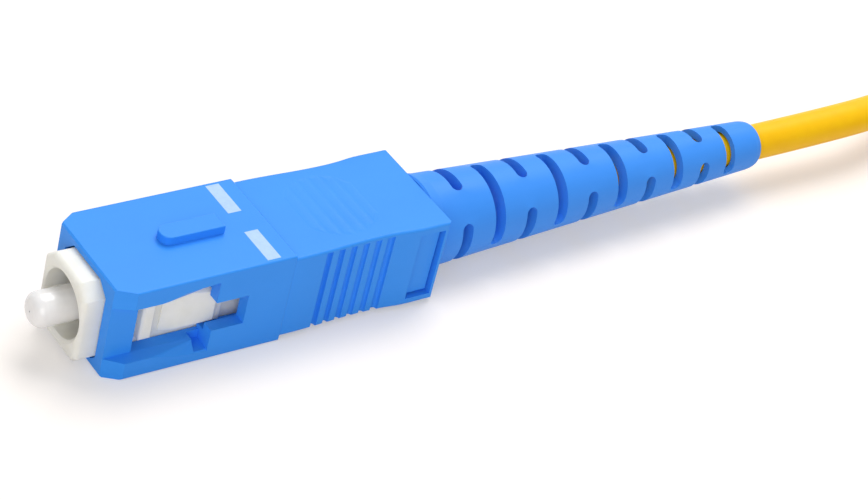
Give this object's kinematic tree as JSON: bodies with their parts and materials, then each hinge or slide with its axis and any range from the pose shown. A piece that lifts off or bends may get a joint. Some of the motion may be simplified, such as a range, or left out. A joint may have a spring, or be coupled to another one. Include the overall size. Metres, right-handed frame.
{
  "type": "fibre optic connector",
  "caption": "Push-pull square fibre optic connector with a round ceramic ferrule, sliding grip, slotted tapered boot and a tied yellow cable.",
  "frame": {"origin": "centre of the ferrule's end face", "axes": "+X back along the cable, +Z towards the key, -Y towards the side window seen first"},
  "size_m": [0.1584, 0.028, 0.0092],
  "materials": {
    "ferrule_ceramic": "polished ceramic",
    "fibre_glass": "polished",
    "fibre_coating": "clear coat",
    "buffer": "satin",
    "flange_metal": "nickel plated",
    "spring_steel": "bright wire",
    "frame_plastic": "satin moulded",
    "stop_metal": "nickel plated",
    "crimp_metal": "satin",
    "cable_jacket": "satin extruded",
    "yarn": "fibrous",
    "boot": "satin moulded",
    "marks": "printed",
    "housing_plastic": "satin moulded",
    "tie": "hook and loop"
  },
  "bodies": {
    "plug_and_cable": {"plug_frame": "frame_plastic", "stop_body": "stop_metal", "crimp_sleeve": "crimp_metal", "cable_jacket": "cable_jacket", "aramid_yarn": "yarn", "tight_buffer": "buffer", "ferrule_spring": "spring_steel", "strain_boot": "boot", "cable_run": "cable_jacket", "cable_hank": "cable_jacket", "hank_ties": "tie", "cable_tail": "cable_jacket", "tail_yarn": "yarn", "tail_buffer": "buffer"},
    "grip": {"grip_housing": "housing_plastic", "insertion_marks": "marks"},
    "ferrule_core": {"ferrule": "ferrule_ceramic", "ferrule_flange": "flange_metal", "glass_fibre": "fibre_glass", "fibre_coating": "fibre_coating"}
  },
  "joints": [
    {"name": "grip_slide", "type": "slide", "parent": "plug_and_cable", "child": "grip", "axis": [-1, 0, 0], "range_m": [0, 0.0014]},
    {"name": "ferrule_float", "type": "slide", "parent": "plug_and_cable", "child": "ferrule_core", "axis": [1, 0, 0], "range_m": [0, 0.001], "stiffness_N_per_m": 1000, "deforming": ["ferrule_spring"]}
  ]
}
